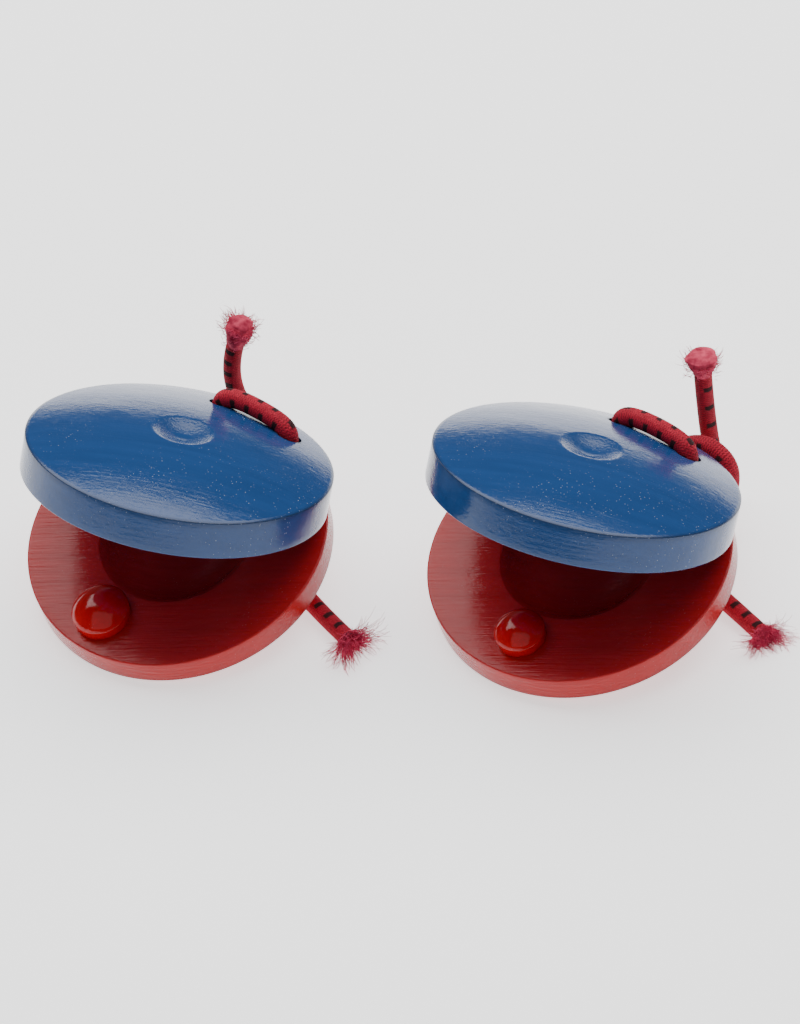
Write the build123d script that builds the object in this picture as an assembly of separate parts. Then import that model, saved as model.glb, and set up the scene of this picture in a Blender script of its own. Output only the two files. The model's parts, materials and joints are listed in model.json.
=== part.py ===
from build123d import *
from dataclasses import dataclass
from math import asin, atan, cos, degrees, radians, sin, sqrt, tan
import os

os.makedirs("parts", exist_ok=True)

# All lengths are in millimetres and all angles in degrees. +Z is up and z = 0 is the table.

# Turned shells
SHELL_RADIUS = 28.5
UPPER_RIM_HEIGHT = 7.1
LOWER_RIM_HEIGHT = 5.35
CROWN_RISE = 4.55
BOWL_RADIUS = 14.5
BOWL_DEPTH = 6.2
DISH_RADIUS = 5.9
DISH_DEPTH = 1.1
ARRIS_EASE = 0.25

# Hinge: a straight ridge on each inner face, with the wood behind it bevelled away
RIDGE_BACK = 19.0
OPENING = 36.0
BEVEL_CLEARANCE = 0.1

# Striker knob
KNOB_SIDE_HEIGHT = 2.2
SPIGOT_RADIUS = 2.0
SPIGOT_DEPTH = 2.6

# Elastic cord and its holes
CORD_RADIUS = 1.7
HOLE_RADIUS = 2.3
HOLE_SPACING = 15.8
HOLE_BACK = 21.4
BEND_SHARE = 0.45

# Finger loop, heights above the lip of the holes
LOOP_SHOULDER_LIFT = 1.35
LOOP_TOP_LIFT = 3.1
LOOP_TOP_HALF_WIDTH = 4.0

# Knot: turns of cord side by side round an axis along the hinge
KNOT_TURN_RADIUS = 3.4
KNOT_TURN_PITCH = 2.9
KNOT_TURNS = 3
KNOT_REACH = KNOT_TURN_RADIUS + CORD_RADIUS
KNOT_GAP = 0.15
STRAND_DROP = 3.0
STRAND_END = 3.9
SIDE_TAIL_START = 2.6

# Frayed ends
FRAY_NECK_RADIUS = 1.7
FAN_THICKNESS = 3.0
FAN_LENGTH = 6.5
TABLE_GAP = 0.05

CROWN_RADIUS = (SHELL_RADIUS**2 + CROWN_RISE**2) / (2 * CROWN_RISE)
BOWL_SPHERE_RADIUS = (BOWL_RADIUS**2 + BOWL_DEPTH**2) / (2 * BOWL_DEPTH)
DISH_SPHERE_RADIUS = (DISH_RADIUS**2 + DISH_DEPTH**2) / (2 * DISH_DEPTH)
TAIL_HEIGHT = CORD_RADIUS + TABLE_GAP


@dataclass
class Castanet:
    """Where one castanet lies on the table, its knob, and the run of its loose cord ends."""

    name: str
    rest_x: float
    rest_y: float
    hinge_bearing: float
    lean: float
    cross_tilt: float
    knob_radius: float
    knob_height: float
    knob_side: float
    knob_forward: float
    hole_side: float
    hole_crown_back: float
    upright_path: list
    upright_fray: list
    side_path: list
    fan_width: float


LEFT = Castanet(
    name="left",
    rest_x=-53.7,
    rest_y=-36.2,
    hinge_bearing=51.2,
    lean=15.5,
    cross_tilt=1.0,
    knob_radius=5.4,
    knob_height=4.7,
    knob_side=-2.0,
    knob_forward=20.9,
    hole_side=2.6,
    hole_crown_back=19.3,
    upright_path=[(-25.6, 6.0, 5.6), (-28.6, 12.8, 11.0), (-29.7, 14.1, 22.5), (-28.7, 13.3, 31.4)],
    upright_fray=[(0.0, 1.7), (0.4, 2.9), (5.6, 3.0), (7.2, 1.6)],
    side_path=[(-22.8, -15.5), (-17.1, -27.8), (-10.4, -38.1)],
    fan_width=14.0,
)

RIGHT = Castanet(
    name="right",
    rest_x=18.0,
    rest_y=-43.2,
    hinge_bearing=47.6,
    lean=13.7,
    cross_tilt=-1.3,
    knob_radius=4.7,
    knob_height=4.5,
    knob_side=2.05,
    knob_forward=20.2,
    hole_side=1.2,
    hole_crown_back=18.6,
    upright_path=[
        (58.8, -13.4, 5.3),
        (61.9, -13.3, 10.2),
        (61.9, -13.2, 16.6),
        (58.2, -9.8, 19.0),
        (54.3, -6.2, 16.2),
        (52.2, -3.0, 10.5),
        (52.6, -0.9, 3.6),
        (58.8, -3.0, 3.5),
        (59.6, -3.9, 10.0),
        (58.3, -3.3, 20.5),
        (57.8, -2.9, 30.2),
    ],
    upright_fray=[(0.0, 1.7), (0.6, 2.2), (4.4, 3.9), (4.9, 3.4)],
    side_path=[(52.2, -23.4), (59.2, -34.7), (64.9, -44.0)],
    fan_width=11.5,
)


def crown_height(radius):
    """Height of the crown above the plane of its arris, at a distance from the centre."""
    return sqrt(CROWN_RADIUS**2 - radius**2) - (CROWN_RADIUS - CROWN_RISE)


CROWN_CENTRE_DROP = CROWN_RADIUS - CROWN_RISE - LOWER_RIM_HEIGHT
KNOT_RUN = sqrt((CROWN_RADIUS + KNOT_REACH + KNOT_GAP) ** 2 - (CROWN_RADIUS - KNOT_REACH) ** 2)


def pose(castanet):
    """Frame of the lower shell's inner face: x along the hinge, y towards it, z out of the face."""
    turn = (
        Rotation(0, 0, castanet.hinge_bearing - 90)
        * Rotation(castanet.lean, 0, 0)
        * Rotation(0, castanet.cross_tilt, 0)
    )
    crown_centre = Vector(castanet.rest_x, castanet.rest_y, CROWN_RADIUS)
    drop = (turn * Location((0, 0, -CROWN_CENTRE_DROP))).position
    return Location(crown_centre + drop) * turn


def opened(shape):
    """Swing a shape made on the closed upper shell up to its rest position about the ridge."""
    ridge = Axis((0, RIDGE_BACK, 0), (1, 0, 0))
    return shape.rotate(ridge, -OPENING)


def knot_centre(castanet):
    """The knot lies on the table and just touches the crown above it."""
    bearing = radians(castanet.hinge_bearing)
    return Vector(
        castanet.rest_x + KNOT_RUN * cos(bearing),
        castanet.rest_y + KNOT_RUN * sin(bearing),
        KNOT_REACH,
    )


def turned_shell(rim_height):
    """Disc with a spherical crown on top and a spherical bowl in its flat inner face, z = 0."""
    rim = Cylinder(SHELL_RADIUS, rim_height + CROWN_RISE, align=(Align.CENTER, Align.CENTER, Align.MIN))
    crown = Pos(0, 0, rim_height + CROWN_RISE - CROWN_RADIUS) * Sphere(CROWN_RADIUS)
    body = rim & crown
    body -= Pos(0, 0, BOWL_DEPTH - BOWL_SPHERE_RADIUS) * Sphere(BOWL_SPHERE_RADIUS)
    top = rim_height + CROWN_RISE
    body -= Pos(0, 0, top - DISH_DEPTH + DISH_SPHERE_RADIUS) * Sphere(DISH_SPHERE_RADIUS)
    rim_edges = body.edges().filter_by(GeomType.CIRCLE).filter_by(lambda e: e.radius > SHELL_RADIUS - 1)
    body = fillet(rim_edges, ARRIS_EASE)
    return body - bevel_wedge()


def hole_places(castanet):
    """How far along the hinge the two cord holes are."""
    half = HOLE_SPACING / 2
    return castanet.hole_side - half, castanet.hole_side + half


def hole_lip(rim_height, x, y):
    """Height of the crown's surface over a hole's middle."""
    return rim_height + crown_height(sqrt(x**2 + y**2))


def upper_hole_point(castanet, x, height):
    """A point on the middle line of an upper hole, which leans forward from the bevel to the crown."""
    bevel_height = (HOLE_BACK - RIDGE_BACK) * tan(radians(OPENING / 2))
    lip = hole_lip(UPPER_RIM_HEIGHT, x, castanet.hole_crown_back)
    slope = (castanet.hole_crown_back - HOLE_BACK) / (lip - bevel_height)
    return x, HOLE_BACK + slope * (height - bevel_height), height


def bevel_wedge():
    """The wedge cut away behind the ridge on each inner face."""
    length = 2 * SHELL_RADIUS
    rise = length * tan(radians(OPENING / 2 + BEVEL_CLEARANCE))
    outline = Polyline(
        (0, RIDGE_BACK, 0),
        (0, RIDGE_BACK + length, 0),
        (0, RIDGE_BACK + length, rise),
        close=True,
    )
    wedge = extrude(make_face(outline), length, dir=(1, 0, 0), both=True)
    below = Pos(0, RIDGE_BACK + length / 2, -length / 2) * Box(2 * length, length, length)
    return wedge + below


def mitre_block():
    """Everything below the bevel plane of the closed upper shell, to trim the loop's ends."""
    size = 4 * SHELL_RADIUS
    block = Pos(0, 0, -size / 2) * Box(size, size, size)
    return Pos(0, RIDGE_BACK, 0) * Rotation(OPENING / 2, 0, 0) * block


def upper_shell(castanet):
    body = turned_shell(UPPER_RIM_HEIGHT)
    for x in hole_places(castanet):
        low = Vector(*upper_hole_point(castanet, x, -SHELL_RADIUS))
        high = Vector(*upper_hole_point(castanet, x, SHELL_RADIUS))
        drill = Cylinder(HOLE_RADIUS, (high - low).length, align=(Align.CENTER, Align.CENTER, Align.MIN))
        body -= Plane(origin=low, z_dir=high - low).location * drill
    return opened(body)


def lower_shell(castanet):
    body = mirror(turned_shell(LOWER_RIM_HEIGHT), Plane.XY)
    for x in hole_places(castanet):
        body -= Pos(x, HOLE_BACK, 0) * Cylinder(HOLE_RADIUS, 4 * SHELL_RADIUS)
    spigot_hole = Cylinder(SPIGOT_RADIUS, SPIGOT_DEPTH, align=(Align.CENTER, Align.CENTER, Align.MAX))
    return body - Pos(castanet.knob_side, -castanet.knob_forward, 0) * spigot_hole


def striker_knob(castanet):
    """Domed button with a short straight side, on a spigot."""
    radius = castanet.knob_radius
    dome_rise = castanet.knob_height - KNOB_SIDE_HEIGHT
    dome_radius = (radius**2 + dome_rise**2) / (2 * dome_rise)
    button = Cylinder(radius, castanet.knob_height, align=(Align.CENTER, Align.CENTER, Align.MIN))
    button &= Pos(0, 0, castanet.knob_height - dome_radius) * Sphere(dome_radius)
    spigot = Cylinder(SPIGOT_RADIUS, SPIGOT_DEPTH, align=(Align.CENTER, Align.CENTER, Align.MAX))
    return Pos(castanet.knob_side, -castanet.knob_forward, 0) * (button + spigot)


def bend_radii(points):
    """Bend radius at each inner corner: a share of the shorter run over the tangent of half the turn."""
    radii = []
    for before, corner, after in zip(points, points[1:], points[2:]):
        run_in = Vector(*corner) - Vector(*before)
        run_out = Vector(*after) - Vector(*corner)
        half_turn = radians(run_in.get_angle(run_out)) / 2
        radii.append(BEND_SHARE * min(run_in.length, run_out.length) / tan(half_turn))
    return radii


def cord(name, points):
    """Round cord along straight runs joined by tangent arcs."""
    points = [tuple(Vector(*point)) for point in points]
    radii = bend_radii(points)
    path = FilletPolyline(*points, radius=radii)
    start = Plane(origin=path @ 0, z_dir=path % 0)
    tube = sweep(start * Circle(CORD_RADIUS), path=path)
    print(name, "length", round(path.length, 2), "radii", [round(r, 2) for r in radii])
    print(name, "points", [tuple(round(value, 3) for value in point) for point in points])
    return tube


def finger_loop(castanet):
    """The elastic from the bevel up through one hole, over the crown and down the other hole."""
    points = []
    for x, inward in zip(hole_places(castanet), (1, -1)):
        lip = hole_lip(UPPER_RIM_HEIGHT, x, castanet.hole_crown_back)
        shoulder = upper_hole_point(castanet, x, lip + LOOP_SHOULDER_LIFT)
        top_x = castanet.hole_side - inward * LOOP_TOP_HALF_WIDTH
        run = [
            upper_hole_point(castanet, x, -CORD_RADIUS),
            shoulder,
            (top_x, shoulder[1], lip + LOOP_TOP_LIFT),
        ]
        points += run if inward > 0 else run[::-1]
    tube = cord(castanet.name + " finger loop", points)
    return opened(tube - mitre_block())


def hinge_strand(castanet, side):
    """The elastic from the bevel down through the lower shell to the knot."""
    hole_x = castanet.hole_side + side * HOLE_SPACING / 2
    place = pose(castanet)
    knot = (place.inverse() * Location(knot_centre(castanet))).position
    corner_z = -hole_lip(LOWER_RIM_HEIGHT, hole_x, HOLE_BACK) - STRAND_DROP
    points = [
        (hole_x, HOLE_BACK, CORD_RADIUS),
        (hole_x, HOLE_BACK, corner_z),
        (knot.X + side * STRAND_END, knot.Y, knot.Z + CORD_RADIUS / 2),
    ]
    tube = cord(castanet.name + " strand", points)
    return tube - mirror(mitre_block(), Plane.XY)


def cord_knot(castanet):
    """Turns of cord side by side, their axis along the hinge."""
    first = -KNOT_TURN_PITCH * (KNOT_TURNS - 1) / 2
    turns = [first + KNOT_TURN_PITCH * turn for turn in range(KNOT_TURNS)]
    profile = Pos(KNOT_TURN_RADIUS / 2, 0) * Rectangle(KNOT_TURN_RADIUS, KNOT_TURN_PITCH * (KNOT_TURNS - 1))
    for offset in turns:
        profile += Pos(KNOT_TURN_RADIUS, offset) * Circle(CORD_RADIUS)
    knot = revolve(profile, Axis.Y)
    along_hinge = Rotation(0, 0, castanet.hinge_bearing)
    return Location(knot_centre(castanet)) * along_hinge * knot


def hinge_direction(castanet):
    """Level unit vector from the middle of the shell towards the hinge."""
    bearing = radians(castanet.hinge_bearing)
    return Vector(cos(bearing), sin(bearing), 0)


def upright_tail(castanet):
    """The loose end that stands up behind the shells."""
    start = knot_centre(castanet) + hinge_direction(castanet) * KNOT_TURN_RADIUS
    return cord(castanet.name + " upright tail", [start] + castanet.upright_path)


def side_tail(castanet):
    """The loose end that lies on the table beside the shells."""
    start = knot_centre(castanet) - hinge_direction(castanet) * SIDE_TAIL_START
    path = [(start.X, start.Y)] + castanet.side_path
    return cord(castanet.name + " side tail", [(x, y, TAIL_HEIGHT) for x, y in path])


def upright_fray(castanet):
    """Turned envelope of the frayed tip of the upright tail."""
    end = Vector(*castanet.upright_path[-1])
    direction = end - Vector(*castanet.upright_path[-2])
    profile = [(0, 0, 0)] + [(radius, 0, rise) for rise, radius in castanet.upright_fray]
    profile.append((0, 0, castanet.upright_fray[-1][0]))
    face = make_face(Polyline(*profile, close=True))
    envelope = revolve(face, Axis.Z)
    return Plane(origin=end, z_dir=direction).location * envelope


def fan_fray(castanet):
    """Flat fan that the frayed tip of the side tail spreads into on the table."""
    end = Vector(*castanet.side_path[-1], TAIL_HEIGHT)
    direction = end - Vector(*castanet.side_path[-2], TAIL_HEIGHT)
    half_width = castanet.fan_width / 2
    fan = Polyline(
        (0, FRAY_NECK_RADIUS),
        (FAN_LENGTH, half_width),
        (FAN_LENGTH + FRAY_NECK_RADIUS, 0),
        (FAN_LENGTH, -half_width),
        (0, -FRAY_NECK_RADIUS),
        close=True,
    )
    body = extrude(make_face(fan), FAN_THICKNESS)
    lowered = Vector(0, 0, TABLE_GAP - TAIL_HEIGHT)
    return Plane(origin=end + lowered, x_dir=direction, z_dir=(0, 0, 1)).location * body


def castanet_nodes(castanet):
    """All nodes of one castanet, in the table frame."""
    place = pose(castanet)
    on_shell = {
        "upper_shell": upper_shell(castanet),
        "lower_shell": lower_shell(castanet),
        "striker_knob": striker_knob(castanet),
        "finger_loop": finger_loop(castanet),
        "outer_strand": hinge_strand(castanet, -1),
        "inner_strand": hinge_strand(castanet, 1),
    }
    on_table = {
        "cord_knot": cord_knot(castanet),
        "upright_tail": upright_tail(castanet),
        "side_tail": side_tail(castanet),
        "upright_fray": upright_fray(castanet),
        "side_fray": fan_fray(castanet),
    }
    nodes = {part: place * shape for part, shape in on_shell.items()}
    nodes.update(on_table)
    return {castanet.name + "_" + part: shape for part, shape in nodes.items()}


def centred(nodes):
    """Shift the pair so that its solid pieces' box is centred over the origin."""
    loose = ("tail", "fray")
    solid_pieces = [shape for node, shape in nodes.items() if not node.endswith(loose)]
    box = Compound(children=[copy_of(shape) for shape in solid_pieces]).bounding_box()
    middle = box.center()
    shift = Pos(-middle.X, -middle.Y, 0)
    return shift, {node: shift * shape for node, shape in nodes.items()}


def copy_of(shape):
    return Pos(0, 0, 0) * shape


def print_joint(castanet, shift):
    """The hinge's place and direction, for the record."""
    place = shift * pose(castanet)
    point = (place * Location((0, RIDGE_BACK, 0))).position
    tip = (place * Location((1, RIDGE_BACK, 0))).position
    print(castanet.name, "clap pivot", point, "axis", tip - point)


pair = {}
for each in (LEFT, RIGHT):
    pair.update(castanet_nodes(each))
shift, pair = centred(pair)
print("shift", shift.position)
for each in (LEFT, RIGHT):
    print_joint(each, shift)
for node, shape in pair.items():
    export_step(shape, f"parts/{node}.step")
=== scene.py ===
import json
import math
import random

import bmesh
import bpy
from bpy.props import FloatProperty, FloatVectorProperty, IntProperty, PointerProperty
from mathutils import Matrix, Vector


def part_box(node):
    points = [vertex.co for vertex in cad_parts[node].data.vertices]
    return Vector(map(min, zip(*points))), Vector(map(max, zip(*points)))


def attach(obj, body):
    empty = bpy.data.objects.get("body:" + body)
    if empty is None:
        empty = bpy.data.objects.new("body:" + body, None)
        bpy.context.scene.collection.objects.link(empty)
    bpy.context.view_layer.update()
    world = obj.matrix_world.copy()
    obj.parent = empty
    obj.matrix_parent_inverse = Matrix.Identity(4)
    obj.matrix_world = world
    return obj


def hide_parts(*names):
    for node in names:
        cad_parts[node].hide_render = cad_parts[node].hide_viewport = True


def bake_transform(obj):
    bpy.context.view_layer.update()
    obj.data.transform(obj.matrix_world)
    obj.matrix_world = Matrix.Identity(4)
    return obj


bl_info = {
    "name": "Finger castanets",
    "version": (1, 0, 0),
    "blender": (4, 5, 0),
    "location": "View3D > Sidebar > Castanets",
    "description": "Enamelled shells, braided elastic and frayed ends for a pair of finger castanets",
    "category": "Add Mesh",
}

MM = 0.001
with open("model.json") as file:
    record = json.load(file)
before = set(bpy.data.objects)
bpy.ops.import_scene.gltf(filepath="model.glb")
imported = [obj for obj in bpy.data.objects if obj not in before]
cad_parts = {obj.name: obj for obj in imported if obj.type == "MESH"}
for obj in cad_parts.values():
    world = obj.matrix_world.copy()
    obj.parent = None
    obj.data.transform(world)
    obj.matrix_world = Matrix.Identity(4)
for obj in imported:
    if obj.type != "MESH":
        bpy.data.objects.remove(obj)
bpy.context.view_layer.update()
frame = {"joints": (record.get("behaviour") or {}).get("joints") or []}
joints = {joint["name"]: joint for joint in frame["joints"]}

# How each castanet lies: bearing of its hinge, lean and cross tilt, in degrees
LIE = {"left": (51.2, 15.5, 1.0), "right": (47.6, 13.7, -1.3)}
# Knobs: radius, height, offset along the hinge and distance in front of the middle, in millimetres
KNOB = {"left": (5.4, 4.7, -2.0, 20.9), "right": (4.7, 4.5, 2.05, 20.2)}
# Cord holes: offset of the pair along the hinge, and how far back they come out of the crown
HOLES = {"left": (2.6, 19.3), "right": (1.2, 18.6)}
OPENING = math.radians(36.0)
RIDGE_BACK = 19.0 * MM
KNOB_WALL = 2.2
# The finger loop: thicker than the rest of the cord, and half its highest stretch, in millimetres
LOOP_THICKENING = 1.08
LOOP_TOP_HALF_WIDTH = 4.0
LOOP_DASH_TURN = 0.28
# Knot of cord under the lower shell, in millimetres
KNOT_TURNS = 3
KNOT_STEPS = 12
KNOT_HALF_LENGTH = 3.2
KNOT_TURN_RADIUS = 3.5
KNOT_CORE_HALF_LENGTH = 4.4
# The camera's aim is a point on the table behind the middle of the pair
CAMERA_AIM = (3.56 * MM, 23.49 * MM, 0)
LENS_SHIFT = (0.0018, -0.0059)
TABLE_HALF_WIDTH = 4.0

# Routes of the loose cord ends, in the frame's metres
UPRIGHT_ROUTE = {
    "left": [
        (-0.02072, 0.02388, 0.0051),
        (-0.02204, 0.02949, 0.0056),
        (-0.0218, 0.03629, 0.0105),
        (-0.0272, 0.03759, 0.0225),
        (-0.0248, 0.03679, 0.0314),
    ],
    "right": [
        (0.05322, 0.01496, 0.0051),
        (0.06236, 0.01009, 0.0053),
        (0.06546, 0.01019, 0.0102),
        (0.06546, 0.01029, 0.0166),
        (0.06176, 0.01369, 0.019),
        (0.05786, 0.01729, 0.0162),
        (0.0545, 0.0215, 0.0105),
        (0.055, 0.0235, 0.0036),
        (0.064, 0.021, 0.003),
        (0.06316, 0.01959, 0.01),
        (0.06186, 0.02019, 0.0205),
        (0.06136, 0.02059, 0.0302),
    ],
}
SIDE_ROUTE = {
    "left": [
        (-0.02448, 0.0192, 0.00175),
        (-0.01924, 0.00799, 0.00175),
        (-0.01354, -0.00431, 0.00175),
        (-0.00684, -0.01461, 0.00175),
    ],
    "right": [
        (0.04917, 0.01053, 0.00175),
        (0.05576, 0.00009, 0.00175),
        (0.06276, -0.01121, 0.00175),
        (0.06846, -0.02051, 0.00175),
    ],
}
SIDES = ("left", "right")
# How far round the cord its tracer dashes start, as a share of a turn
TWIST = {"left upright": 0.35, "right upright": 0.2, "left side": 0.0, "right side": 0.0}


class ShellSettings(bpy.types.PropertyGroup):
    """Sizes of the turned shells and the knob."""

    radius: FloatProperty(name="Radius", description="Radius of both shells", default=28.5 * MM, unit="LENGTH")
    upper_rim: FloatProperty(
        name="Upper rim", description="Height of the upper shell's rim", default=7.1 * MM, unit="LENGTH"
    )
    lower_rim: FloatProperty(
        name="Lower rim", description="Height of the lower shell's rim", default=5.35 * MM, unit="LENGTH"
    )
    crown_rise: FloatProperty(
        name="Crown rise", description="Height of the crown above the rim", default=4.55 * MM, unit="LENGTH"
    )
    bowl_radius: FloatProperty(
        name="Bowl radius", description="Radius of the hollow's mouth", default=14.5 * MM, unit="LENGTH"
    )
    bowl_depth: FloatProperty(
        name="Bowl depth", description="Depth of the hollow", default=6.2 * MM, unit="LENGTH"
    )
    hole_radius: FloatProperty(
        name="Hole radius", description="Radius of the cord holes", default=2.3 * MM, unit="LENGTH"
    )
    hole_spacing: FloatProperty(
        name="Hole spacing", description="Distance between the cord holes", default=15.8 * MM, unit="LENGTH"
    )
    hole_back: FloatProperty(
        name="Hole setback", description="Holes' distance behind the middle", default=21.4 * MM, unit="LENGTH"
    )
    steps: IntProperty(name="Steps", description="Facets round each turned shell", default=192, min=24)


class CordSettings(bpy.types.PropertyGroup):
    """Sizes of the elastic cord."""

    radius: FloatProperty(name="Radius", description="Radius of the cord", default=1.7 * MM, unit="LENGTH")
    rib_pitch: FloatProperty(
        name="Rib pitch", description="Spacing of the cover's ribs", default=0.44 * MM, unit="LENGTH"
    )
    rib_height: FloatProperty(
        name="Rib height", description="Height of the cover's ribs", default=0.05 * MM, unit="LENGTH"
    )
    around: IntProperty(name="Around", description="Facets round the cord", default=24, min=8)


class ColourSettings(bpy.types.PropertyGroup):
    """Colours of the enamels and of the cord."""

    blue: FloatVectorProperty(
        name="Blue enamel", description="Upper shells", default=(0.012, 0.051, 0.168), subtype="COLOR", size=3
    )
    red: FloatVectorProperty(
        name="Red enamel", description="Lower shells", default=(0.41, 0.013, 0.014), subtype="COLOR", size=3
    )
    knob: FloatVectorProperty(
        name="Knob enamel", description="Striker knobs", default=(0.42, 0.004, 0.006), subtype="COLOR", size=3
    )
    cord: FloatVectorProperty(
        name="Cord cover", description="Braided cover", default=(0.42, 0.008, 0.028), subtype="COLOR", size=3
    )
    fray: FloatVectorProperty(
        name="Frayed threads", description="Loose threads", default=(0.66, 0.03, 0.11), subtype="COLOR", size=3
    )


class StageSettings(bpy.types.PropertyGroup):
    """The table, the lights and the camera."""

    camera_distance: FloatProperty(
        name="Camera distance", description="From the aim point", default=874.9 * MM, unit="LENGTH"
    )
    camera_elevation: FloatProperty(
        name="Camera elevation", description="Above level", default=math.radians(41.75), unit="ROTATION"
    )
    camera_roll: FloatProperty(
        name="Camera roll", description="About the line of sight", default=math.radians(-3.83), unit="ROTATION"
    )
    lens: FloatProperty(name="Lens", description="Focal length in millimetres", default=162.3)


class Value:
    """A socket carrying one number, so that shader maths reads as plain expressions."""

    def __init__(self, finish, socket):
        self.finish = finish
        self.socket = socket

    def math(self, operation, *others):
        values = dict(enumerate((self,) + others))
        return self.finish.node("ShaderNodeMath", {"operation": operation}, values)

    def __add__(self, other):
        return self.math("ADD", other)

    def __mul__(self, other):
        return self.math("MULTIPLY", other)

    def __sub__(self, other):
        return self.math("SUBTRACT", other)

    def __rsub__(self, other):
        values = {0: other, 1: self}
        return self.finish.node("ShaderNodeMath", {"operation": "SUBTRACT"}, values)

    def __truediv__(self, other):
        return self.math("DIVIDE", other)

    __radd__ = __add__
    __rmul__ = __mul__


class Finish:
    """A node material that is put together from named parts."""

    def __init__(self, name):
        self.material = bpy.data.materials.new(name)
        self.material.use_nodes = True
        self.tree = self.material.node_tree
        self.tree.nodes.clear()

    def node(self, kind, settings=None, inputs=None, output=0):
        """Add a node: its settings first, then its sockets' values or links; gives one output."""
        node = self.tree.nodes.new(kind)
        for key, value in (settings or {}).items():
            if key == "stops":
                self.set_stops(node.color_ramp, value)
            else:
                setattr(node, key, value)
        for key, value in (inputs or {}).items():
            if isinstance(value, Value):
                self.tree.links.new(value.socket, node.inputs[key])
            else:
                node.inputs[key].default_value = value
        return Value(self, node.outputs[output]) if len(node.outputs) else None

    def set_stops(self, ramp, stops):
        while len(ramp.elements) < len(stops):
            ramp.elements.new(0.5)
        for element, (position, level) in zip(ramp.elements, stops):
            element.position = position
            element.color = (level, level, level, 1)

    def attribute(self, name, output="Vector"):
        return self.node("ShaderNodeAttribute", {"attribute_name": name}, output=output)

    def place(self):
        return self.node("ShaderNodeTexCoord", output="Object")

    def parts_of(self, vector):
        first = self.node("ShaderNodeSeparateXYZ", inputs={0: vector})
        outputs = first.socket.node.outputs
        return [Value(self, outputs[index]) for index in range(3)]

    def stretched(self, vector, scale):
        return self.node("ShaderNodeVectorMath", {"operation": "MULTIPLY"}, {0: vector, 1: scale})

    def noise(self, vector, scale, detail=2.0, roughness=0.5):
        values = {"Vector": vector, "Scale": scale, "Detail": detail, "Roughness": roughness}
        return self.node("ShaderNodeTexNoise", inputs=values, output=0)

    def ramp(self, value, *stops):
        return self.node("ShaderNodeValToRGB", {"stops": stops}, {0: value})

    def between(self, factor, first, second):
        """Mix two colours."""
        settings = {"data_type": "RGBA", "clamp_factor": True}
        return self.node("ShaderNodeMix", settings, {0: factor, 6: rgba(first), 7: rgba(second)}, output=2)

    def bump(self, height, distance, strength=1.0, below=None):
        values = {"Height": height, "Distance": distance, "Strength": strength}
        if below is not None:
            values["Normal"] = below
        return self.node("ShaderNodeBump", inputs=values)

    def surface(self, **sockets):
        names = {name.replace("_", " "): value for name, value in sockets.items()}
        shader = self.node("ShaderNodeBsdfPrincipled", inputs=names)
        self.node("ShaderNodeOutputMaterial", inputs={"Surface": shader})
        return self.material


def rgba(colour):
    if isinstance(colour, Value):
        return colour
    return (*colour[:3], 1.0)


def enamel(name, colour, grain_turn, dust_and_glint, streaks, gloss):
    """Brushed enamel on turned wood: grain shows through, with dust nibs that carry a painted highlight, and
    darker paint along the edges.
    """
    finish = Finish(name)
    place = finish.attribute("shell_place")
    turned = finish.node(
        "ShaderNodeMapping", {"vector_type": "POINT"}, {"Vector": place, "Rotation": (0, 0, grain_turn)}
    )
    along_grain = finish.stretched(turned, (1.0, 0.05, 1.0))
    grain = finish.noise(along_grain, 1900.0, 3.0, 0.6)
    broad_grain = finish.noise(along_grain, 500.0, 2.0, 0.5)
    ripple = finish.noise(place, 110.0, 2.0, 0.45)
    orange_peel = finish.noise(place, 1300.0, 1.0, 0.4)
    nib_patches = finish.ramp(finish.noise(place, 55.0, 1.0), (0.40, 0.0), (0.65, 1.0))
    cells = {"Vector": place, "Scale": 1700.0}
    cell_distance = finish.node("ShaderNodeTexVoronoi", inputs=cells)
    cell_chance, cell_size, _ = finish.parts_of(finish.node("ShaderNodeTexVoronoi", inputs=cells, output=1))
    speck = finish.ramp(cell_distance + (0.5 - cell_size) * 0.08, (0.10, 1.0), (0.20, 0.0))
    nibs = speck * finish.ramp(cell_chance, (0.55, 0.0), (0.57, 1.0)) * nib_patches
    edge = finish.attribute("edge_wear", "Fac")
    dish = finish.attribute("dish", "Fac")
    pale = [channel * 1.08 + 0.001 for channel in colour]
    deep = [channel * 0.93 for channel in colour]
    paint = finish.between(finish.ramp(broad_grain, (0.35, 0.0), (0.7, 1.0)), deep, pale)
    paint = finish.between(finish.ramp(ripple, (0.3, 0.0), (0.7, 0.5)), paint, colour)
    # Paint darkened almost to black along the crown's arris and round the hole lips, and rougher there.
    paint = finish.between(edge * 0.9, paint, [channel * 0.12 + 0.003 for channel in colour])
    # Painted highlight: pale grey mixed in at the dust nibs, as if each nib caught the light; the nibs' bumps
    # are real.
    paint = finish.between(nibs * dust_and_glint, paint, (0.5, 0.55, 0.6))
    uneven = finish.ramp(ripple, (0.35, 0.0), (0.75, 1.0))
    rough = 0.10 + uneven * 0.06 + nibs * 0.2 + edge * 0.25 + dish * 0.10
    wavy = finish.bump(ripple, 0.0009, 0.16)
    grained = finish.bump(grain, 0.00011, streaks, wavy)
    pitted = finish.bump(finish.noise(place, 2600.0, 1.0, 0.5) * dish, 0.00012, 0.8, grained)
    peeled = finish.bump(orange_peel, 0.00004, 0.5, pitted)
    normal = finish.bump(nibs, 0.00010, dust_and_glint, peeled)
    return finish.surface(Base_Color=paint, Roughness=rough, Normal=normal, IOR=gloss)


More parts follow.
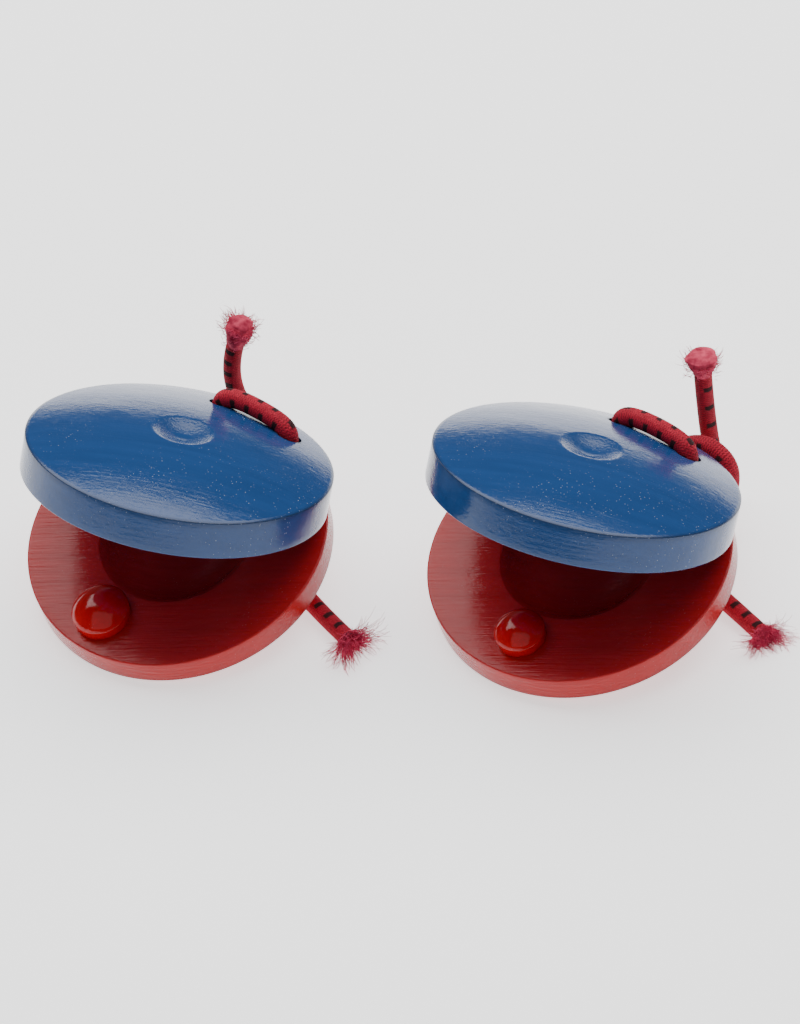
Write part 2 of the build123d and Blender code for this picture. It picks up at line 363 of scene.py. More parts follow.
def cord_cover(name, colour, dash_pitch):
    """Braided cover with fine ribs and two staggered rows of black tracer dashes."""
    finish = Finish(name)
    across, along, _ = finish.parts_of(finish.node("ShaderNodeUVMap", {"uv_map": "cord"}))
    place = finish.place()
    wobble = finish.noise(place, 1100.0, 2.0) - 0.5
    plait = (across * (2 * math.pi * 14) + wobble * 2.0).math("SINE")
    ribs = (along * (2 * math.pi / 0.44) + plait * 1.1 + wobble * 2.5).math("SINE") * 0.5 + 0.5
    fibre = finish.noise(place, 4200.0, 2.0, 0.65)
    patches = finish.noise(place, 420.0, 2.0)

    def dash_row(centre, offset):
        side = (across - centre).math("ABSOLUTE") + wobble * 0.05
        step = (along / dash_pitch + offset).math("FRACT") - 0.5
        reach = step.math("ABSOLUTE") * dash_pitch + wobble * 0.5
        narrow = finish.ramp(side, (0.085, 1.0), (0.115, 0.0))
        short = finish.ramp(reach, (0.42, 1.0), (0.60, 0.0))
        return narrow * short

    dashes = dash_row(0.25, 0.0).math("MAXIMUM", dash_row(0.90, 0.5))
    light = [min(1.0, channel * 1.45 + 0.02) for channel in colour]
    dark = [channel * 0.35 for channel in colour]
    # Painted shade: the cover is darker in the grooves between the ribs.
    cover = finish.between(finish.ramp(ribs, (0.05, 0.0), (0.6, 1.0)), dark, colour)
    cover = finish.between(finish.ramp(fibre, (0.48, 0.0), (0.72, 0.9)), cover, light)
    cover = finish.between(finish.ramp(patches, (0.45, 0.0), (0.75, 0.4)), cover, dark)
    cover = finish.between(dashes * 0.94, cover, (0.010, 0.005, 0.006))
    ribbed = finish.bump(ribs, 0.00007, 0.6)
    normal = finish.bump(fibre, 0.00007, 0.8, ribbed)
    return finish.surface(Base_Color=cover, Roughness=0.8, Normal=normal, Specular_IOR_Level=0.25)


def loose_thread(name, colour):
    """Fuzzy cover threads, mottled between darker and paler tones."""
    finish = Finish(name)
    shade = finish.noise(finish.place(), 700.0, 2.0)
    light = [min(1.0, channel * 1.25 + 0.05) for channel in colour]
    dark = [channel * 0.55 for channel in colour]
    thread = finish.between(finish.ramp(shade, (0.3, 0.0), (0.7, 1.0)), dark, light)
    rough = 0.7 + shade * 0.2
    return finish.surface(Base_Color=thread, Roughness=rough, Specular_IOR_Level=0.25)


def table_top(name):
    finish = Finish(name)
    mottle = finish.noise(finish.place(), 9.0, 2.0)
    paper = finish.between(mottle, (0.86, 0.86, 0.86), (0.88, 0.88, 0.88))
    # Painted pool of light: the table glows, strongest near the middle and fading to nothing 0.85 m out.
    reach = finish.node("ShaderNodeVectorMath", {"operation": "LENGTH"}, {0: finish.place()}, output=1)
    painted_light_pool = finish.ramp(reach, (0.2, 0.46), (0.85, 0.0))
    return finish.surface(
        Base_Color=paper, Roughness=0.85, Specular_IOR_Level=0.2, Emission_Color=painted_light_pool, Emission_Strength=2.4
    )


FINISHES = {}


def lower_place(side):
    """Frame of the lower shell's inner face: x along the hinge, y towards it, z out of the face."""
    bearing, lean, cross = (math.radians(angle) for angle in LIE[side])
    turn = (
        Matrix.Rotation(bearing - math.pi / 2, 4, "Z")
        @ Matrix.Rotation(lean, 4, "X")
        @ Matrix.Rotation(cross, 4, "Y")
    )
    pivot = Vector(joints[side + "_clap"]["pos_m"])
    return Matrix.Translation(pivot) @ turn @ Matrix.Translation((0, -RIDGE_BACK, 0))


def upper_place(side):
    """Frame of the upper shell's inner face, swung open about the ridge."""
    ridge = Matrix.Translation((0, RIDGE_BACK, 0))
    swing = ridge @ Matrix.Rotation(-OPENING, 4, "X") @ ridge.inverted()
    return lower_place(side) @ swing


def arc(centre, radius, start, end, steps):
    """Points of an arc in the profile plane, from one angle to the other."""
    points = []
    for step in range(steps + 1):
        angle = start + (end - start) * step / steps
        points.append((centre[0] + radius * math.cos(angle), centre[1] + radius * math.sin(angle)))
    return points


def spun(profile, steps):
    """Turn a profile of radius and height into a closed solid of revolution."""
    mesh = bmesh.new()
    points = [mesh.verts.new((radius, 0, height)) for radius, height in profile]
    edges = [mesh.edges.new(pair) for pair in zip(points, points[1:])]
    bmesh.ops.spin(
        mesh,
        geom=points + edges,
        cent=(0, 0, 0),
        axis=(0, 0, 1),
        angle=2 * math.pi,
        steps=steps,
        use_merge=True,
    )
    bmesh.ops.remove_doubles(mesh, verts=mesh.verts, dist=1e-7)
    bmesh.ops.recalc_face_normals(mesh, faces=mesh.faces)
    return mesh


def shell_profile(shell, rim):
    """Half section from the bottom of the bowl round the rim and crown to the middle of the dish."""
    radius = shell.radius
    rise = shell.crown_rise
    crown_radius = (radius**2 + rise**2) / (2 * rise)
    crown_centre = rim + rise - crown_radius
    bowl_radius = (shell.bowl_radius**2 + shell.bowl_depth**2) / (2 * shell.bowl_depth)
    bowl_centre = shell.bowl_depth - bowl_radius
    lip = 0.55 * MM
    lip_slope = math.asin(shell.bowl_radius / bowl_radius)
    lip_angle = math.pi / 2 - lip_slope
    inner = arc((0, bowl_centre), bowl_radius, math.pi / 2, lip_angle + 0.045, 40)
    bend_radius = shell.bowl_radius + lip * math.tan(lip_slope / 2) + 0.25 * MM
    rounding = arc((bend_radius, lip), lip, math.pi + 0.75, 1.5 * math.pi, 6)
    ease = 0.3 * MM
    edge = arc((radius - ease, ease), ease, -math.pi / 2, 0, 5)
    top_ease = 0.22 * MM
    arris_slope = math.asin(radius / crown_radius)
    arris = arc((radius - top_ease, rim - top_ease), top_ease, 0, math.pi / 2 - arris_slope, 5)
    start = math.pi / 2 - math.asin((radius - 1.1 * top_ease) / crown_radius)
    dish_rim = 5.9 * MM
    end = math.pi / 2 - math.asin(dish_rim / crown_radius)
    crown = arc((0, crown_centre), crown_radius, start, end, 44)
    flat = [(r * MM, 0.0) for r in (16.0, 17.5, 19.0, 20.5, 22.0, 23.5, 25.0, 26.5)]
    side = [(radius, rim * share) for share in (0.2, 0.4, 0.6, 0.8)]
    top = crown_centre + math.sqrt(crown_radius**2 - dish_rim**2)
    dish = [
        (5.7, -0.03),
        (5.45, -0.09),
        (5.2, -0.19),
        (4.9, -0.3),
        (4.6, -0.39),
        (4.3, -0.5),
        (3.9, -0.66),
        (3.4, -0.88),
        (2.8, -1.1),
        (2.1, -1.3),
        (1.4, -1.42),
        (0.7, -1.5),
        (0.0, -1.52),
    ]
    dish = [(r * MM, top + z * MM) for r, z in dish]
    return inner + rounding + flat + edge + side + arris + crown + dish


def finished(mesh, name, place, material, node, body, sharp=35.0):
    """Put a piece in its place, note each point's home on the turned shape, and let it ride."""
    data = bpy.data.meshes.new(name)
    mesh.to_mesh(data)
    mesh.free()
    return finished_mesh(data, name, place, material, node, body, sharp)


def finished_mesh(data, name, place, material, node, body, sharp=35.0):
    piece = bpy.data.objects.new(name, data)
    bpy.context.scene.collection.objects.link(piece)
    homes = [component for point in data.vertices for component in point.co]
    attribute = data.attributes.new("shell_place", "FLOAT_VECTOR", "POINT")
    attribute.data.foreach_set("vector", homes)
    data.transform(place)
    for polygon in data.polygons:
        polygon.use_smooth = True
    data.set_sharp_from_angle(angle=math.radians(sharp))
    data.materials.clear()
    data.materials.append(material)
    if node:
        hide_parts(*node)
    if body:
        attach(piece, body)
    return piece


def hole_places(side):
    """How far along the hinge the two cord holes are, in millimetres."""
    half = bpy.context.scene.castanet_shell.hole_spacing / MM / 2
    return HOLES[side][0] - half, HOLES[side][0] + half


def hole_lip(shell, rim, x, y):
    """Height of the crown's surface over a hole's middle."""
    crown_radius = (shell.radius**2 + shell.crown_rise**2) / (2 * shell.crown_rise)
    reach = math.sqrt(crown_radius**2 - (x * MM) ** 2 - (y * MM) ** 2)
    return (rim + shell.crown_rise - crown_radius + reach) / MM


def upper_hole_point(shell, side, x, height):
    """A point on the middle line of an upper hole, which leans forward from the bevel to the crown."""
    back = shell.hole_back / MM
    bevel_height = (back - RIDGE_BACK / MM) * math.tan(OPENING / 2)
    crown_back = HOLES[side][1]
    lip = hole_lip(shell, shell.upper_rim, x, crown_back)
    slope = (crown_back - back) / (lip - bevel_height)
    return Vector((x, back + slope * (height - bevel_height), height))


def bored(data, shell, drills):
    """Drill the cord holes, each from one point to another."""
    plain = bpy.data.objects.new("blank", data)
    bpy.context.scene.collection.objects.link(plain)
    cutters = []
    for low, high in drills:
        axis = high - low
        mesh = bmesh.new()
        bmesh.ops.create_cone(
            mesh,
            cap_ends=True,
            segments=48,
            radius1=shell.hole_radius,
            radius2=shell.hole_radius,
            depth=axis.length,
            matrix=Matrix.Translation((low + high) / 2) @ axis.to_track_quat("Z", "Y").to_matrix().to_4x4(),
        )
        drill_data = bpy.data.meshes.new("drill")
        mesh.to_mesh(drill_data)
        mesh.free()
        drill = bpy.data.objects.new("drill", drill_data)
        bpy.context.scene.collection.objects.link(drill)
        cut = plain.modifiers.new("cut", "BOOLEAN")
        cut.operation = "DIFFERENCE"
        cut.solver = "EXACT"
        cut.object = drill
        cutters.append(drill)
    bpy.context.view_layer.update()
    depsgraph = bpy.context.evaluated_depsgraph_get()
    result = bpy.data.meshes.new_from_object(plain.evaluated_get(depsgraph))
    for scrap in cutters + [plain]:
        bpy.data.objects.remove(scrap)
    return result


def turned_shell(shell, rim, drills):
    """Spin a shell, plane away the wood behind the ridge, and drill it."""
    mesh = spun(shell_profile(shell, rim), shell.steps)
    slope = OPENING / 2
    cut = bmesh.ops.bisect_plane(
        mesh,
        geom=mesh.verts[:] + mesh.edges[:] + mesh.faces[:],
        plane_co=(0, RIDGE_BACK, 0),
        plane_no=(0, math.sin(slope), -math.cos(slope)),
        clear_outer=True,
    )
    rim_edges = [item for item in cut["geom_cut"] if isinstance(item, bmesh.types.BMEdge)]
    bmesh.ops.edgeloop_fill(mesh, edges=rim_edges)
    bmesh.ops.remove_doubles(mesh, verts=mesh.verts, dist=0.02 * MM)
    bmesh.ops.recalc_face_normals(mesh, faces=mesh.faces)
    data = bpy.data.meshes.new("turned")
    mesh.to_mesh(data)
    mesh.free()
    return bored(data, shell, drills)


def mark_edges(piece, place, shell, rim, holes):
    """Edge darkening, 1 on the crown's arris and round the lips of the holes, and 1 in the dish."""
    home = place.inverted()
    edge_darkening = []
    hollow = []
    for point in piece.data.vertices:
        spot = home @ point.co
        radius = math.hypot(spot.x, spot.y)
        arris = math.hypot(radius - shell.radius, abs(spot.z) - rim)
        hole = min(math.hypot(spot.x - x * MM, spot.y - y * MM) for x, y in holes)
        darkening = max(0.0, 1 - arris / (0.35 * MM))
        if abs(spot.z) > rim * 0.8:
            darkening = max(darkening, 1 - abs(hole - shell.hole_radius) / (0.3 * MM))
        edge_darkening.append(min(1.0, darkening))
        in_dish = abs(spot.z) > rim + shell.crown_rise - 1.6 * MM
        hollow.append(in_dish * min(1.0, max(0.0, (6.4 * MM - radius) / (1.6 * MM))))
    attribute = piece.data.attributes.new("edge_wear", "FLOAT", "POINT")
    attribute.data.foreach_set("value", edge_darkening)
    attribute = piece.data.attributes.new("dish", "FLOAT", "POINT")
    attribute.data.foreach_set("value", hollow)


def route_points(name, points, per_run=16):
    """Points along the smooth line that a route's control points shape."""
    curve = bpy.data.curves.new(name, "CURVE")
    curve.dimensions = "3D"
    spline = curve.splines.new("NURBS")
    spline.points.add(len(points) - 1)
    for control, point in zip(spline.points, points):
        control.co = (*point, 1.0)
    spline.order_u = 3
    spline.use_endpoint_u = True
    spline.resolution_u = per_run
    holder = bpy.data.objects.new(name, curve)
    bpy.context.scene.collection.objects.link(holder)
    bpy.context.view_layer.update()
    line = bpy.data.meshes.new_from_object(holder)
    result = [point.co.copy() for point in line.vertices]
    bpy.data.objects.remove(holder)
    return result


def evenly(points, spacing):
    """The same line with its points a fixed distance apart."""
    reach = [0.0]
    for before, after in zip(points, points[1:]):
        reach.append(reach[-1] + (after - before).length)
    count = max(2, round(reach[-1] / spacing))
    result = []
    index = 0
    for step in range(count + 1):
        target = reach[-1] * step / count
        while index < len(points) - 2 and reach[index + 1] < target:
            index += 1
        span = reach[index + 1] - reach[index]
        share = (target - reach[index]) / span if span else 0.0
        result.append(points[index].lerp(points[index + 1], share))
    return result, reach[-1]


def travelling_frames(points, first_normal):
    """A sideways and an upward direction at each point, turned as little as possible."""
    frames = []
    normal = Vector(first_normal)
    for index, _ in enumerate(points):
        before = points[max(0, index - 1)]
        after = points[min(len(points) - 1, index + 1)]
        tangent = (after - before).normalized()
        normal = (normal - tangent * normal.dot(tangent)).normalized()
        frames.append((normal, tangent.cross(normal)))
    return frames


def tube(points, cord, swell=None, first_normal=(1, 0, 0), phase=0.0):
    """A ribbed tube round a line, with a map of how far round and along each point lies."""
    spacing = cord.rib_pitch / 4
    line, length = evenly(points, spacing)
    rings = len(line) - 1
    frames = travelling_frames(line, first_normal)
    mesh = bmesh.new()
    bmesh.ops.create_grid(mesh, x_segments=cord.around, y_segments=rings, size=0.5)
    layer = mesh.loops.layers.uv.new("cord")
    for face in mesh.faces:
        for loop in face.loops:
            spot = loop.vert.co
            loop[layer].uv = (spot.x + 0.5, (spot.y + 0.5) * length / MM)
    for vert in mesh.verts:
        share = vert.co.y + 0.5
        ring = min(rings, round(share * rings))
        angle = 2 * math.pi * (vert.co.x + 0.5 + phase)
        along = share * length
        radius = cord.radius if swell is None else swell(along, angle)
        rib = math.cos(2 * math.pi * along / cord.rib_pitch)
        radius += cord.rib_height * (rib - 1) / 2
        normal, side = frames[ring]
        vert.co = line[ring] + (normal * math.cos(angle) + side * math.sin(angle)) * radius
    bmesh.ops.remove_doubles(mesh, verts=mesh.verts, dist=1e-6)
    rims = [edge for edge in mesh.edges if edge.is_boundary]
    bmesh.ops.holes_fill(mesh, edges=rims, sides=0)
    bmesh.ops.recalc_face_normals(mesh, faces=mesh.faces)
    return mesh, line, length


def cord_piece(mesh, name, nodes, body, material):
    data = bpy.data.meshes.new(name)
    mesh.to_mesh(data)
    mesh.free()
    piece = bpy.data.objects.new(name, data)
    bpy.context.scene.collection.objects.link(piece)
    for polygon in data.polygons:
        polygon.use_smooth = True
    data.materials.append(material)
    if nodes:
        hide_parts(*nodes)
    if body:
        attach(piece, body)
    return piece


def threads(name, strands, radius, material, nodes, body):
    """Hundreds of fine loose threads as one piece."""
    curve = bpy.data.curves.new(name, "CURVE")
    curve.dimensions = "3D"
    curve.bevel_depth = radius
    curve.bevel_resolution = 0
    for strand in strands:
        spline = curve.splines.new("POLY")
        spline.points.add(len(strand) - 1)
        for index, (control, point) in enumerate(zip(spline.points, strand)):
            control.co = (*point, 1.0)
            control.radius = 1.0 - 0.6 * index / (len(strand) - 1)
    holder = bpy.data.objects.new(name, curve)
    bpy.context.scene.collection.objects.link(holder)
    bpy.context.view_layer.update()
    data = bpy.data.meshes.new_from_object(holder)
    bpy.data.objects.remove(holder)
    piece = bpy.data.objects.new(name, data)
    bpy.context.scene.collection.objects.link(piece)
    for polygon in data.polygons:
        polygon.use_smooth = True
    data.materials.clear()
    data.materials.append(material)
    if nodes:
        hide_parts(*nodes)
    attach(piece, body)
    return piece


def brush(rng, origin, axis, side, clumps, count, reach, spread, flatness, start_radius, floor=None):
    """Threads that leave the cut end of the cord in loose clumps, spread sideways and curl."""
    axis = axis.normalized()
    side = (side - axis * side.dot(axis)).normalized()
    up = axis.cross(side)
    strands = []

    def wander(size):
        return Vector((rng.gauss(0, size), rng.gauss(0, size), rng.gauss(0, size)))

    for clump in range(clumps):
        angle = 2 * math.pi * (clump + rng.random()) / clumps
        out = 0.35 + 0.65 * math.sqrt(rng.random())
        lean_side = math.cos(angle) * out
        lean_up = math.sin(angle) * out * flatness
        heading = (axis + side * lean_side * spread + up * lean_up * spread).normalized()
        curl = wander(0.13)
        clump_reach = reach * rng.uniform(0.6, 1.0) * (0.75 + 0.25 * abs(math.cos(angle)))
        for _ in range(count // clumps):
            turn = rng.uniform(0, 2 * math.pi)
            start = (side * math.cos(turn) + up * math.sin(turn)) * start_radius * rng.random()
            start += (side * math.cos(angle) + up * math.sin(angle)) * start_radius * 0.4 * out
            course = (heading + wander(0.16)).normalized()
            length = clump_reach * rng.uniform(0.4, 1.0)
            strand = [origin + start - axis * 0.7 * MM]
            if floor is not None:
                strand[0].z = max(strand[0].z, floor)
            steps = 6
            for step in range(steps):
                course = (course + curl * (0.4 + step / steps) + wander(0.07)).normalized()
                point = strand[-1] + course * length / steps
                if floor is not None:
                    point.z = max(point.z, floor + 0.05 * MM * rng.random())
                strand.append(point)
            strands.append(strand)
    return strands


class CASTANETS_OT_stage(bpy.types.Operator):
    """Set the table, the soft lights and the camera"""

    bl_idname = "castanets.stage"
    bl_label = "Stage"

    def execute(self, context):
        stage = context.scene.castanet_stage
        mesh = bmesh.new()
        bmesh.ops.create_grid(mesh, x_segments=2, y_segments=2, size=TABLE_HALF_WIDTH)
        data = bpy.data.meshes.new("table")
        mesh.to_mesh(data)
        mesh.free()
        data.materials.append(table_top("table paper"))
        table = bpy.data.objects.new("table", data)
        context.scene.collection.objects.link(table)
        self.light(context, "overhead", (-0.1, 1.0, 1.5), (-0.1, 1.0, 0.0), (3.0, 1.9), 78.0, -18.0)
        self.light(context, "fill", (-0.35, -1.35, 1.45), (0.0, 0.0, 0.0), (2.4, 2.0), 8.0)
        self.camera(context, stage)
        world = bpy.data.worlds.new("studio")
        context.scene.world = world
        world.use_nodes = True
        background = world.node_tree.nodes["Background"]
        background.inputs["Color"].default_value = (1.0, 1.0, 1.0, 1.0)
        background.inputs["Strength"].default_value = 0.10
        return {"FINISHED"}

    def light(self, context, name, spot, aim, size, watts, turn=0.0):
        lamp = bpy.data.lights.new(name, "AREA")
        lamp.shape = "RECTANGLE"
        lamp.size = size[0]
        lamp.size_y = size[1]
        lamp.energy = watts
        holder = bpy.data.objects.new(name, lamp)
        context.scene.collection.objects.link(holder)
        towards = Vector(aim) - Vector(spot)
        facing = towards.to_track_quat("-Z", "Y").to_matrix().to_4x4()
        holder.matrix_world = Matrix.Translation(spot) @ facing @ Matrix.Rotation(math.radians(turn), 4, "Z")

    def camera(self, context, stage):
        lens = bpy.data.cameras.new("camera")
        lens.lens = stage.lens
        lens.shift_x, lens.shift_y = LENS_SHIFT
        lens.clip_start = 0.05
        holder = bpy.data.objects.new("camera", lens)
        context.scene.collection.objects.link(holder)
        elevation = stage.camera_elevation
        back = Vector((0, -math.cos(elevation), math.sin(elevation)))
        level_right = Vector((1, 0, 0))
        level_up = back.cross(level_right)
        roll = stage.camera_roll
        right = level_right * math.cos(roll) + level_up * math.sin(roll)
        up = back.cross(right)
        turn = Matrix((right, up, back)).transposed().to_4x4()
        holder.matrix_world = Matrix.Translation(Vector(CAMERA_AIM) + back * stage.camera_distance) @ turn
        context.scene.camera = holder


class CASTANETS_OT_finishes(bpy.types.Operator):
    """Mix the enamels and the cord's cover"""

    bl_idname = "castanets.finishes"
    bl_label = "Finishes"

    def execute(self, context):
        colours = context.scene.castanet_colours
        blue, red, knob = colours.blue, colours.red, colours.knob
        FINISHES["blue"] = enamel("blue enamel", blue, grain_turn=1.06, dust_and_glint=0.3, streaks=0.3, gloss=1.42)
        FINISHES["red"] = enamel("red enamel", red, grain_turn=1.06, dust_and_glint=0.06, streaks=1.0, gloss=1.31)
        FINISHES["knob"] = enamel("knob enamel", knob, grain_turn=0.0, dust_and_glint=0.05, streaks=0.1, gloss=1.4)
        for name, pitch in (("left", 3.3), ("right", 3.3), ("left upright", 2.7), ("right upright", 4.2)):
            FINISHES[name + " cord"] = cord_cover(name + " cord cover", colours.cord, pitch)
        FINISHES["thread"] = loose_thread("loose thread", colours.fray)
        between = [0.5 * (a + b) for a, b in zip(colours.cord, colours.fray)]
        FINISHES["flare"] = loose_thread("frayed cover", between)
        return {"FINISHED"}


class CASTANETS_OT_loose_ends(bpy.types.Operator):
    """Run the loose cord ends, upright and on the table, and fray their tips"""

    bl_idname = "castanets.loose_ends"
    bl_label = "Loose cord ends"

    def execute(self, context):
        cord = context.scene.castanet_cord
        for side in SIDES:
            self.end(cord, side, "upright", UPRIGHT_ROUTE[side], self.upright_tip(cord, side))
            self.end(cord, side, "side", SIDE_ROUTE[side], self.side_fan(side))
        return {"FINISHED"}

    def end(self, cord, side, kind, route, frayed):
        points = route_points(f"{side} {kind} route", route)
        mesh, line, length = tube(points, cord, phase=TWIST[f"{side} {kind}"])
        cover = FINISHES.get(f"{side} {kind} cord", FINISHES[side + " cord"])
        node = f"{side}_{kind}_tail"
        piece = cord_piece(mesh, node + "_cord", [node], side + "_base", cover)
        2 * cord.radius
        [tuple(point) for point in line[::8] + line[-1:]]

    def side_fan(self, side):
        rng = random.Random("fan " + side)
        route = SIDE_ROUTE[side]
        end = Vector(route[-1])
        axis = end - Vector(route[-2])
        across = axis.cross(Vector((0, 0, 1)))
        reach = (9.0 if side == "left" else 7.5) * MM
        strands = brush(rng, end, axis, across, 38, 640, reach, 1.45, 0.45, 1.6 * MM, 0.12 * MM)
        name = side + "_side_threads"
        return [threads(name, strands, 0.065 * MM, FINISHES["thread"], [side + "_side_fray"], side + "_base")]

    def upright_tip(self, cord, side):
        rng = random.Random("tip " + side)
        route = UPRIGHT_ROUTE[side]
        end = Vector(route[-1])
        axis = (end - Vector(route[-2])).normalized()
        level = Vector((1, 0, 0))
        if side == "left":
            outline = [(0.0, 1.7), (0.9, 1.95), (2.2, 2.35), (3.6, 2.55), (5.0, 2.5), (6.0, 2.0), (6.6, 0.6)]
        else:
            outline = [(0.0, 1.7), (0.8, 1.95), (2.0, 2.4), (3.2, 2.85), (4.0, 3.0), (4.4, 2.4), (4.6, 0.4)]
        length = outline[-1][0] * MM

        def swell(along, angle):
            at = along / MM
            for (low, low_radius), (high, high_radius) in zip(outline, outline[1:]):
                if at <= high:
                    break
            share = min(1.0, max(0.0, (at - low) / (high - low)))
            radius = low_radius + (high_radius - low_radius) * share
            lump = 1 + 0.06 * math.sin(3 * angle + at) + 0.04 * math.sin(5 * angle - 2 * at)
            return radius * lump * MM

        points = [end + axis * length * step / 20 for step in range(21)]
        mesh, _, _ = tube(points, cord, swell)
        cover = FINISHES["flare"]
        flare = cord_piece(mesh, side + "_flared_cover", [side + "_upright_fray"], side + "_base", cover)
        tip = end + axis * (length - 1.4 * MM)
        strands = brush(rng, tip, axis, level, 18, 460, 3.3 * MM, 1.7, 1.0, 2.4 * MM)
        for share, count in ((0.25, 120), (0.5, 160), (0.75, 160)):
            ring = end + axis * length * share
            strands += brush(rng, ring, axis, level, 12, count, 2.3 * MM, 2.4, 1.0, 2.5 * MM)
        tips = threads(side + "_upright_threads", strands, 0.06 * MM, FINISHES["thread"], [], side + "_base")
        return [flare, tips]


class CASTANETS_OT_worked_cord(bpy.types.Operator):
    """Thread the finger loops, the strands through the hinge and the knots"""

    bl_idname = "castanets.worked_cord"
    bl_label = "Finger loops, strands and knots"

    def execute(self, context):
        cord = context.scene.castanet_cord
        for side in SIDES:
            self.loop(cord, side)
            self.strands(cord, side)
            self.knot(cord, side)
        return {"FINISHED"}

    def loop(self, cord, side):
        shell = bpy.context.scene.castanet_shell
        place = upper_place(side)
        middle = HOLES[side][0]
        route = []
        for x, inward in zip(hole_places(side), (1, -1)):
            lip = hole_lip(shell, shell.upper_rim, x, HOLES[side][1])
            shoulder = upper_hole_point(shell, side, x, lip + 1.3)
            run = [
                upper_hole_point(shell, side, x, 2.6),
                upper_hole_point(shell, side, x, 6.5),
                shoulder,
                Vector((middle - inward * LOOP_TOP_HALF_WIDTH, shoulder.y, lip + 2.5)),
            ]
            route += run if inward > 0 else run[::-1]
        points = route_points(side + " loop route", [place @ (point * MM) for point in route])
        back = place.to_3x3() @ Vector((0, 1, 0))
        thick = cord.radius * LOOP_THICKENING
        mesh, _, _ = tube(points, cord, lambda along, angle: thick, back, LOOP_DASH_TURN)
        node = side + "_finger_loop"
        cord_piece(mesh, node + "_cord", [node], side + "_clapper", FINISHES[side + " cord"])

    def strands(self, cord, side):
        shell = bpy.context.scene.castanet_shell
        lower = lower_place(side)
        upper = upper_place(side)
        home = (lower.inverted() @ knot_middle(side)) / MM
        back = shell.hole_back / MM
        for word, x, sign in zip(("outer", "inner"), hole_places(side), (-1, 1)):

            def below(height):
                return lower @ (Vector((x, back, height)) * MM)

            def above(height):
                return upper @ (upper_hole_point(shell, side, x, height) * MM)

            corner = -hole_lip(shell, shell.lower_rim, x, back) - 3.0
            knotted = lower @ ((home + Vector((sign * 3.9, 0, 0.85))) * MM)
            route = [below(-2.6), below(-6.0), below(corner), knotted]
            mesh, _, _ = tube(route_points(f"{side} {word} strand route", route), cord)
            node = f"{side}_{word}_strand"
            cord_piece(mesh, node + "_cord", [node], side + "_base", FINISHES[side + " cord"])
            crossing = [below(-3.4), below(-1.4), above(1.4), above(3.4)]
            mesh, _, _ = tube(route_points(f"{side} {word} crossing route", crossing), cord)
            piece = cord_piece(mesh, f"{side}_{word}_crossing", [], None, FINISHES[side + " cord"])
            above(2.2)
            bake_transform(piece)

    def knot(self, cord, side):
        middle = knot_middle(side)
        bearing = math.radians(LIE[side][0])
        along = Vector((math.sin(bearing), -math.cos(bearing), 0))
        level = Vector((math.cos(bearing), math.sin(bearing), 0))
        route = []
        steps = KNOT_STEPS * KNOT_TURNS
        for step in range(steps + 1):
            angle = 2 * math.pi * step / KNOT_STEPS
            reach = (step / steps - 0.5) * 2 * KNOT_HALF_LENGTH * MM
            offset = level * math.cos(angle) + Vector((0, 0, 1)) * math.sin(angle)
            route.append(middle + along * reach + offset * KNOT_TURN_RADIUS * MM)
        points = route_points(side + " knot route", route, 6)
        mesh, _, _ = tube(points, cord)
        cover = FINISHES[side + " cord"]
        cord_piece(mesh, side + "_knot_turns", [side + "_cord_knot"], side + "_base", cover)
        end = along * KNOT_CORE_HALF_LENGTH * MM
        core = [middle - end, middle + Vector((0, 0, 0.3 * MM)), middle + end]
        mesh, _, _ = tube(route_points(side + " core route", core), cord)
        cord_piece(mesh, side + "_knot_core", [], side + "_base", cover)


def knot_middle(side):
    low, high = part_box(side + "_cord_knot")
    return (Vector(low) + Vector(high)) / 2


class CASTANETS_OT_shells(bpy.types.Operator):
    """Turn, plane and drill the upper and lower shells"""

    bl_idname = "castanets.shells"
    bl_label = "Shells"

    def execute(self, context):
        shell = context.scene.castanet_shell
        for side in SIDES:
            self.upper(shell, side)
            self.lower(shell, side)
        return {"FINISHED"}

    def upper(self, shell, side):
        place = upper_place(side)
        places = hole_places(side)
        drills = [[upper_hole_point(shell, side, x, height) * MM for height in (-20, 20)] for x in places]
        data = turned_shell(shell, shell.upper_rim, drills)
        node = side + "_upper_shell"
        name = node + "_enamelled"
        piece = finished_mesh(data, name, place, FINISHES["blue"], [node], side + "_clapper")
        mark_edges(piece, place, shell, shell.upper_rim, [(x, HOLES[side][1]) for x in places])

    def lower(self, shell, side):
        place = lower_place(side) @ Matrix.Scale(-1, 4, (0, 0, 1))
        back = shell.hole_back / MM
        places = hole_places(side)
        drills = [[Vector((x, back, height)) * MM for height in (-20, 20)] for x in places]
        data = turned_shell(shell, shell.lower_rim, drills)
        data.flip_normals()
        node = side + "_lower_shell"
        name = node + "_enamelled"
        piece = finished_mesh(data, name, place, FINISHES["red"], [node], side + "_base")
        mark_edges(piece, place, shell, shell.lower_rim, [(x, back) for x in places])


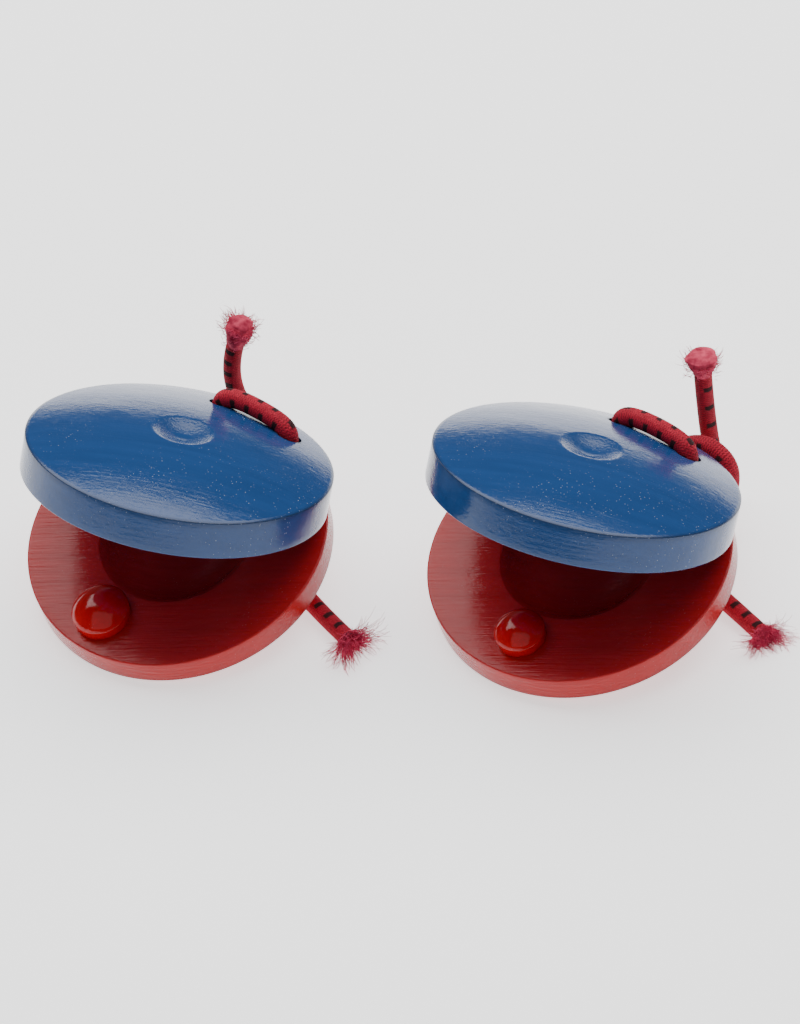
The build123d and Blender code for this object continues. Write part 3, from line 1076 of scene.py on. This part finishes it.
class CASTANETS_OT_knobs(bpy.types.Operator):
    """Turn the striker knobs"""

    bl_idname = "castanets.knobs"
    bl_label = "Striker knobs"

    def execute(self, context):
        for side in SIDES:
            radius, height, offset, forward = KNOB[side]
            dome = height - KNOB_WALL
            dome_radius = (radius**2 + dome**2) / (2 * dome)
            shoulder = math.asin(radius / dome_radius)
            profile = [(0.0, -2.4), (1.9, -2.4), (2.0, -2.2), (2.0, 0.02), (radius - 0.25, 0.02)]
            profile += arc((radius - 0.25, 0.27), 0.25, -math.pi / 2, 0, 4)
            profile += [(radius, 0.9), (radius, 1.5)]
            ease = 0.35
            profile += arc((radius - ease, KNOB_WALL - ease * 0.8), ease, 0, math.pi / 2 - shoulder, 5)
            profile += arc(
                (0, height - dome_radius), dome_radius, math.pi / 2 - shoulder * 0.93, math.pi / 2, 16
            )
            mesh = spun([(r * MM, z * MM) for r, z in profile], 96)
            place = lower_place(side) @ Matrix.Translation((offset * MM, -forward * MM, 0))
            node = side + "_striker_knob"
            piece = finished(
                mesh, node + "_enamelled", place, FINISHES["knob"], [node], side + "_base", 40
            )
            edge_darkening = [0.0] * len(piece.data.vertices)
            piece.data.attributes.new("edge_wear", "FLOAT", "POINT").data.foreach_set("value", edge_darkening)
        return {"FINISHED"}


class CASTANETS_PT_sidebar(bpy.types.Panel):
    """Buttons for each step"""

    bl_idname = "CASTANETS_PT_sidebar"
    bl_label = "Finger castanets"
    bl_space_type = "VIEW_3D"
    bl_region_type = "UI"
    bl_category = "Castanets"

    def draw(self, context):
        for step in STEPS:
            self.layout.operator(step.bl_idname)


STEPS = (
    CASTANETS_OT_stage,
    CASTANETS_OT_finishes,
    CASTANETS_OT_loose_ends,
    CASTANETS_OT_worked_cord,
    CASTANETS_OT_shells,
    CASTANETS_OT_knobs,
)
SETTINGS = {
    "castanet_shell": ShellSettings,
    "castanet_cord": CordSettings,
    "castanet_colours": ColourSettings,
    "castanet_stage": StageSettings,
}


def register():
    for group in SETTINGS.values():
        bpy.utils.register_class(group)
    for step in STEPS + (CASTANETS_PT_sidebar,):
        bpy.utils.register_class(step)
    for name, group in SETTINGS.items():
        setattr(bpy.types.Scene, name, PointerProperty(type=group))


def unregister():
    for name in SETTINGS:
        delattr(bpy.types.Scene, name)
    for step in (CASTANETS_PT_sidebar,) + STEPS:
        bpy.utils.unregister_class(step)
    for group in SETTINGS.values():
        bpy.utils.unregister_class(group)


def main():
    register()
    bpy.ops.castanets.stage()
    bpy.ops.castanets.finishes()
    bpy.ops.castanets.loose_ends()
    bpy.ops.castanets.worked_cord()
    bpy.ops.castanets.shells()
    bpy.ops.castanets.knobs()


if __name__ == "__main__":
    main()
